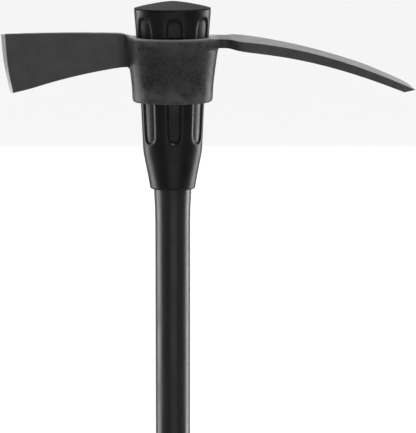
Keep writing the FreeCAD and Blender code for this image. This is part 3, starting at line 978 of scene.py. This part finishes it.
def laid_over(tree, share, first, second):
    """The first colour with the second one laid over it where the share is high."""
    mix = place(tree, "ShaderNodeMix", data_type="RGBA")
    tree.links.new(share, mix.inputs[0])
    tree.links.new(first, mix.inputs[6])
    if isinstance(second, bpy.types.NodeSocket):
        tree.links.new(second, mix.inputs[7])
    else:
        mix.inputs[7].default_value = (*tone(second), 1)
    return mix.outputs[2]


def wear_of(tree, here, amount):
    """The broken wear of the piece's outer corners."""
    sharp = place(tree, "ShaderNodeAttribute", attribute_name="sharpness").outputs["Fac"]
    return use_group(tree, wear, {"Place": here, "Sharpness": sharp, "Amount": amount}).outputs["Worn"]


print("helpers: new_finish, tone, two_tone, laid_over, wear_of")

# %% [markdown]
# Bumps are chained: each Bump node takes the normal of the one before it, so that a fine grain can lie on
# a coarser one. Their depth is in millimetres.

# %% Ending a finish
def complete(finish_made, tree, shader, colour, share, low, high, layers):
    """Wires in the colour, a roughness from low to high by the share, and bumps (height, depth, strength)."""
    tree.links.new(colour, shader.inputs["Base Color"])
    roughness = place(tree, "ShaderNodeMapRange", {"Value": share, "To Min": low, "To Max": high})
    tree.links.new(roughness.outputs["Result"], shader.inputs["Roughness"])
    normal = None
    for height, depth, strength in layers:
        bump = place(tree, "ShaderNodeBump", {"Height": height, "Distance": depth * MM, "Strength": strength})
        if normal is not None:
            tree.links.new(normal, bump.inputs["Normal"])
        normal = bump.outputs["Normal"]
    tree.links.new(normal, shader.inputs["Normal"])
    print("finish:", finish_made.name, len(tree.nodes), "nodes")


print("helper: complete")

# %% [markdown]
# ### Painted forging
# Thin black enamel over a hammered surface. The cloud darkens and lightens it, pale flecks show where the
# enamel is thin, and the same cloud changes the gloss. The next cells paint light and shade into it by
# place: painted highlights and shade on the blades, a painted sheen and highlight on the collar, and a
# painted reflection near the adze's edge.

# %% The enamel
forge_paint, tree, shader, here = new_finish("painted forging", specular=0.14)
cloudy = use_group(tree, mottle, {"Place": here, "Scale": 70.0})
cloud, speckle = cloudy.outputs["Cloud"], cloudy.outputs["Speckle"]
worn = wear_of(tree, here, 0.8)
paint = two_tone(tree, cloud, (0.022, 0.022, 0.0225), (0.055, 0.055, 0.0555))
paint = laid_over(tree, mask(tree, speckle, 0.50, 0.85), paint, 0.14)
axes = place(tree, "ShaderNodeSeparateXYZ", {0: here})
facing = place(tree, "ShaderNodeSeparateXYZ", {0: tree.nodes["Texture Coordinate"].outputs["Normal"]})
print("enamel nodes:", len(tree.nodes))

# %% [markdown]
# Painted light and shade: the blades' sides and the adze's top are given a lighter grey than the collar's
# enamel, as painted highlight and reflection, and the cutter's top a darker one, as painted shade. What faces
# up is told from what faces sideways by the object's own normal, and each blade by how far out along the head
# it lies.

# %% Painted light and shade on the blades
upward = mask(tree, facing.outputs["Z"], 0.35, 0.75)
out_on_adze = mask(tree, axes.outputs["X"], 0.045, 0.075)
# Painted reflection: the adze's upward faces are lightened, standing in for the overhead light they mirror.
adze_top_painted_reflection = two_tone(tree, cloud, 0.080, (0.118, 0.118, 0.117))
paint = laid_over(tree, product(tree, upward, out_on_adze), paint, adze_top_painted_reflection)
out_on_cutter = mask(tree, axes.outputs["X"], -0.046, -0.056)
sideways = place(tree, "ShaderNodeMath", {0: 0.75, 1: upward}, operation="SUBTRACT", use_clamp=True)
on_blades = place(tree, "ShaderNodeMath", {0: out_on_cutter, 1: out_on_adze}, operation="ADD").outputs[0]
# Painted highlight: the blades' sideways faces are lightened, standing in for the front light they catch.
blade_sides_painted_light = two_tone(tree, cloud, 0.112, 0.145)
paint = laid_over(tree, product(tree, on_blades, sideways.outputs[0]), paint, blade_sides_painted_light)
# Painted shade: the cutter's narrow top is darkened.
CUTTER_TOP_PAINTED_SHADE = 0.006
paint = laid_over(tree, product(tree, out_on_cutter, upward), paint, CUTTER_TOP_PAINTED_SHADE)
print("with the blades:", len(tree.nodes))

# %% [markdown]
# The collar gets a painted sheen, a soft lighter band near its top and its foot, where it swells, and a
# painted highlight, a thin bright line on the very rim. The line is kept to the outer rim by its distance
# from the handle's middle.

# %% A painted sheen on the collar
COLLAR_PAINTED_SHEEN, PAINTED_RIM_HIGHLIGHT = 0.125, 0.19
near_top = mask(tree, axes.outputs["Z"], 0.860, 0.876)
near_foot = mask(tree, axes.outputs["Z"], 0.838, 0.822)
either_band = place(tree, "ShaderNodeMath", {0: near_top, 1: near_foot}, operation="ADD").outputs[0]
along = place(tree, "ShaderNodeMath", {0: axes.outputs["X"]}, operation="ABSOLUTE").outputs[0]
on_collar = mask(tree, along, 0.046, 0.040)
# Painted sheen: a lighter band near the collar's top and foot, broken by the cloud.
painted_sheen_band = product(tree, product(tree, either_band, on_collar), cloud)
paint = laid_over(tree, painted_sheen_band, paint, COLLAR_PAINTED_SHEEN)
print("with the collar's bands:", len(tree.nodes))

# %% [markdown]
# Near the adze's edge the enamel is lightened in slanting streaks: partly a grinder's thinning, partly a
# painted reflection of the overhead light. The coordinates are turned before they are stretched, which is
# what slants the lines. The painted rim highlight and the wear of the corners go over everything else.

# %% Grinding streaks with painted reflection, the painted rim highlight and the wear
GRIND_STREAKS_AND_PAINTED_SHEEN, WORN = 0.16, 0.15
toward_edge = mask(tree, axes.outputs["X"], 0.196, 0.234)
slant = {"Vector": here, "Angle": math.radians(34)}
slanted = place(tree, "ShaderNodeVectorRotate", slant, rotation_type="Z_AXIS")
grinding = use_group(tree, streaks, {"Place": slanted.outputs["Vector"], "Stretch": (60, 900, 60)})
# Painted reflection mixed with real grinding: the enamel toward the adze's edge is lightened in streaks.
paint = laid_over(tree, product(tree, toward_edge, grinding.outputs["Streak"]), paint, GRIND_STREAKS_AND_PAINTED_SHEEN)
near_rim = mask(tree, axes.outputs["Z"], 0.8764, 0.8780)
round_eye = mask(tree, from_axis(tree, here), 0.0485, 0.0470)
# Painted highlight: a thin bright line round the collar's outer rim.
paint = laid_over(tree, product(tree, product(tree, near_rim, round_eye), on_collar), paint, PAINTED_RIM_HIGHLIGHT)
paint = laid_over(tree, worn, paint, WORN)
complete(forge_paint, tree, shader, paint, cloud, 0.27, 0.42, [(cloud, 0.3, 0.5), (speckle, 0.05, 0.5)])

# %% [markdown]
# ### Ground steel
# The bevels were ground through the paint. Bare steel is metallic, and its fine scratches run across
# the edge. It goes only on the faces that slope to the two cutting edges.

# %% The ground steel
ground_steel, tree, shader, here = new_finish("ground steel", metallic=0.85)
scratches = use_group(tree, streaks, {"Place": here, "Stretch": (70, 700, 1400)}).outputs["Streak"]
cloud = use_group(tree, mottle, {"Place": here, "Scale": 90.0}).outputs["Cloud"]
steel = two_tone(tree, scratches, 0.34, 0.50)
complete(ground_steel, tree, shader, steel, cloud, 0.54, 0.68, [(scratches, 0.03, 0.5)])

# %% [markdown]
# ### Moulded nylon
# The sleeve is black nylon with a soft sheen, a very fine grain from the mould's surface, and paler
# rubbed corners along the flutes.

# %% The moulded nylon
nylon, tree, shader, here = new_finish("black nylon", specular=0.3)
cloud = use_group(tree, mottle, {"Place": here, "Scale": 45.0}).outputs["Cloud"]
grain = use_group(tree, mottle, {"Place": here, "Scale": 320.0}).outputs["Speckle"]
black = two_tone(tree, cloud, (0.003, 0.003, 0.0031), 0.008)
black = laid_over(tree, wear_of(tree, here, 0.5), black, 0.08)
complete(nylon, tree, shader, black, cloud, 0.30, 0.42, [(grain, 0.03, 0.35), (cloud, 0.06, 0.3)])

# %% [markdown]
# ### Cap plastic
# Fine lines run outward from the dome's peak, as they can where plastic spreads from the middle of a mould.
# The angle round the peak drives a streak, so the lines point to the middle from every side.

# %% The cap plastic
cap_plastic, tree, shader, here = new_finish("streaked cap", specular=0.05)
axes = place(tree, "ShaderNodeSeparateXYZ", {0: here})
heading = place(tree, "ShaderNodeMath", {0: axes.outputs["Y"], 1: axes.outputs["X"]}, operation="ARCTAN2")
polar_wires = {"X": heading.outputs[0], "Y": from_axis(tree, here), "Z": 0.0}
polar = place(tree, "ShaderNodeCombineXYZ", polar_wires).outputs["Vector"]
rays = use_group(tree, streaks, {"Place": polar, "Stretch": (16, 40, 1)}).outputs["Streak"]
grain = use_group(tree, mottle, {"Place": here, "Scale": 60.0}).outputs["Speckle"]
black = two_tone(tree, rays, 0.004, 0.032)
complete(cap_plastic, tree, shader, black, rays, 0.50, 0.66, [(rays, 0.05, 0.4), (grain, 0.04, 0.5)])

# %% [markdown]
# ### Jacket plastic
# The jacket is drawn over the rod, so its faint lines run lengthwise and its gloss wavers slowly.

# %% The jacket plastic
jacket_plastic, tree, shader, here = new_finish("drawn jacket", specular=0.45)
drawn = use_group(tree, streaks, {"Place": here, "Stretch": (420, 420, 9)}).outputs["Streak"]
cloudy = use_group(tree, mottle, {"Place": here, "Scale": 30.0})
cloud, grain = cloudy.outputs["Cloud"], cloudy.outputs["Speckle"]
black = two_tone(tree, drawn, 0.012, 0.021)
complete(jacket_plastic, tree, shader, black, cloud, 0.28, 0.40, [(drawn, 0.03, 0.4), (grain, 0.03, 0.4)])

# %% [markdown]
# ### Grip rubber
# Rubber is dull and finely pebbled. Voronoi cells give the pebbles, each a low round bump.

# %% The grip rubber
def cells(tree, here, scale):
    """The distance from the middle of the nearest cell, as for pebbles and bubbles."""
    wires = {"Vector": here, "Scale": scale}
    return place(tree, "ShaderNodeTexVoronoi", wires, feature="F1").outputs["Distance"]


grip_rubber, tree, shader, here = new_finish("pebbled rubber", specular=0.35)
pebbles = cells(tree, here, 900.0)
cloudy = use_group(tree, mottle, {"Place": here, "Scale": 55.0})
cloud, grain = cloudy.outputs["Cloud"], cloudy.outputs["Speckle"]
black = two_tone(tree, cloud, 0.014, (0.026, 0.025, 0.025))
complete(grip_rubber, tree, shader, black, grain, 0.62, 0.85, [(pebbles, 0.12, 0.5), (grain, 0.05, 0.4)])

# %% [markdown]
# ### Butt plastic
# The butt plug is the same kind of plastic as the jacket. Its lowest nine millimetres are scuffed grey by
# the floor, which a mask on the height does.

# %% The butt plastic
butt_plastic, tree, shader, here = new_finish("scuffed butt", specular=0.45)
axes = place(tree, "ShaderNodeSeparateXYZ", {0: here})
scuffs = use_group(tree, streaks, {"Place": here, "Stretch": (500, 500, 160)}).outputs["Streak"]
scuffed = product(tree, mask(tree, axes.outputs["Z"], 0.009, 0.0), scuffs)
cloudy = use_group(tree, mottle, {"Place": here, "Scale": 60.0})
cloud, grain = cloudy.outputs["Cloud"], cloudy.outputs["Speckle"]
black = laid_over(tree, scuffed, two_tone(tree, cloud, 0.011, 0.018), (0.10, 0.10, 0.095))
complete(butt_plastic, tree, shader, black, cloud, 0.36, 0.52, [(scuffs, 0.04, 0.4), (grain, 0.03, 0.4)])

# %% [markdown]
# ### The hidden core
# The rod and its bond can't be seen, but they are there, so they get their own finishes: glass strands
# that run the rod's length in a straw-coloured resin, and an amber epoxy with small bubbles.

# %% The fibreglass and the epoxy
fibreglass, tree, shader, here = new_finish("glass strands")
strands = use_group(tree, streaks, {"Place": here, "Stretch": (1300, 1300, 6)}).outputs["Streak"]
resin = two_tone(tree, strands, (0.42, 0.31, 0.10), (0.66, 0.56, 0.30))
complete(fibreglass, tree, shader, resin, strands, 0.3, 0.5, [(strands, 0.02, 0.4)])

epoxy, tree, shader, here = new_finish("amber epoxy")
bubbles = cells(tree, here, 420.0)
cloudy = use_group(tree, mottle, {"Place": here, "Scale": 80.0})
amber = two_tone(tree, cloudy.outputs["Cloud"], (0.30, 0.16, 0.03), (0.46, 0.28, 0.07))
complete(epoxy, tree, shader, amber, cloudy.outputs["Speckle"], 0.12, 0.3, [(bubbles, 0.08, 0.4)])

# %% [markdown]
# The head got its enamel and its steel when its ground faces were picked. Each other piece has one finish,
# and the two hidden CAD solids are given theirs in place of the plain material they came with.

# %% Giving every piece its finish
finishes = {sleeve: nylon, cap: cap_plastic, shaft: jacket_plastic, grip: grip_rubber, butt: butt_plastic}
for piece, finish_made in finishes.items():
    piece.data.materials.append(finish_made)
    print(piece.name, "is", finish_made.name)
for node, finish_made in (("core_rod", fibreglass), ("core_bond", epoxy)):
    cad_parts[node].data.materials.clear()
    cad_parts[node].data.materials.append(finish_made)
    print(node, "is", finish_made.name)

# %% [markdown]
# ## Floor, camera and light
# The mattock stands on a wide pale floor. The floor is near white to the camera, and darker to everything
# that it would light or be mirrored in, as if dark cards stood round a black tool.

# %% The floor
bpy.ops.object.select_all(action="DESELECT")
bpy.ops.mesh.primitive_plane_add(size=120)
floor = bpy.context.object
floor.name = "studio_floor"
floor_paint = bpy.data.materials.new("floor paint")
floor_paint.use_nodes = True
floor_shader = floor_paint.node_tree.nodes["Principled BSDF"]
ray = floor_paint.node_tree.nodes.new("ShaderNodeLightPath").outputs["Is Camera Ray"]
TO_THE_TOOL, TO_THE_CAMERA = 0.22, 0.92
floor_wires = {"Value": ray, "To Min": TO_THE_TOOL, "To Max": TO_THE_CAMERA}
floor_tone = place(floor_paint.node_tree, "ShaderNodeMapRange", floor_wires)
floor_paint.node_tree.links.new(floor_tone.outputs["Result"], floor_shader.inputs["Base Color"])
floor_shader.inputs["Roughness"].default_value = 0.9
floor_shader.inputs["Specular IOR Level"].default_value = 0.1
floor.data.materials.append(floor_paint)
print("floor:", tuple(round(side, 1) for side in floor.dimensions))

# %% [markdown]
# A long lens far away keeps the shapes flat and true, as in a catalogue. The camera stands a little above
# the head and a little to the cutter's side, and only the upper part of the handle is in the frame.

# %% The camera
DISTANCE = 4.5
look_at = Vector((0.0354, 0, 0.6984))
turn, lift = math.radians(-4.7), math.radians(8.0)
toward_camera = Vector((math.sin(turn) * math.cos(lift), -math.cos(turn) * math.cos(lift), math.sin(lift)))
lens = bpy.data.cameras.new("studio lens")
lens.lens = 374
lens.sensor_width = 36
lens.clip_end = 200
camera = bpy.data.objects.new("studio camera", lens)
camera.location = look_at + toward_camera * DISTANCE
camera.rotation_euler = (-toward_camera).to_track_quat("-Z", "Y").to_euler()
bpy.context.collection.objects.link(camera)
bpy.context.scene.camera = camera
print("camera stands at", [round(side, 3) for side in camera.location])

# %% [markdown]
# Two tall soft boxes a little behind the tool draw the bright lines down both sides of the shaft. A weak
# fill from the front and one box overhead open up the black. The ceiling and the back wall are lit too, so
# that the room reads as white.

# %% The lights
def soft_box(name, angle, distance, height, size, power):
    """A rectangular light at an angle round the handle from the camera's side, aimed at the head."""
    light = bpy.data.lights.new(name, "AREA")
    light.shape = "RECTANGLE"
    light.size, light.size_y = size
    light.energy = power
    box = bpy.data.objects.new(name, light)
    spin = math.radians(angle)
    box.location = look_at + Vector((math.sin(spin), -math.cos(spin), 0)) * distance + Vector((0, 0, height))
    box.rotation_euler = (look_at - box.location).to_track_quat("-Z", "Y").to_euler()
    box.visible_camera = False
    bpy.context.collection.objects.link(box)
    print(name, [round(side, 2) for side in box.location], power, "W")


soft_box("right soft box", 109, 1.5, 0.0, (0.8, 1.6), 28)
soft_box("left soft box", -108, 1.5, 0.0, (0.95, 1.6), 26)
soft_box("front fill", 2, 3.0, -0.42, (2.2, 0.7), 7)
soft_box("overhead soft box", 60, 0.8, 2.0, (1.6, 0.8), 28)
soft_box("back wall glow", 176, 6.0, 0.9, (5.0, 2.4), 29)

# %% [markdown]
# The ceiling is a very wide sun, so its shadows are soft, and the room itself glows faintly from all round.

# %% The ceiling and the room
sun_lamp = bpy.data.lights.new("ceiling glow", "SUN")
sun_lamp.energy = 3.2
sun_lamp.angle = math.radians(50)
sun = bpy.data.objects.new("ceiling glow", sun_lamp)
sun.rotation_euler = (math.radians(-30), math.radians(-6), 0)
bpy.context.collection.objects.link(sun)
room = bpy.data.worlds.new("room")
bpy.context.scene.world = room
room.use_nodes = True
glow = room.node_tree.nodes["Background"]
glow.inputs["Color"].default_value = (1, 1, 1, 1)
glow.inputs["Strength"].default_value = 0.12
bpy.context.scene.view_settings.view_transform = "Standard"
print("ceiling:", round(sun_lamp.energy, 2), "and room:", round(glow.inputs["Strength"].default_value, 2))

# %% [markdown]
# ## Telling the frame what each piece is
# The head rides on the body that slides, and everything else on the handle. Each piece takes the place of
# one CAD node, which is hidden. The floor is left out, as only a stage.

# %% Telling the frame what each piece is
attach(head, "head")
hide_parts("mattock_head")
for piece, node, slot in ((sleeve, "eye_sleeve", "moulded_nylon"), (cap, "end_cap", "cap_plastic"),
                          (shaft, "shaft_jacket", "jacket_plastic"), (grip, "grip_sleeve", "grip_rubber"),
                          (butt, "butt_cap", "butt_plastic")):
    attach(piece, "handle")
    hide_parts(node)
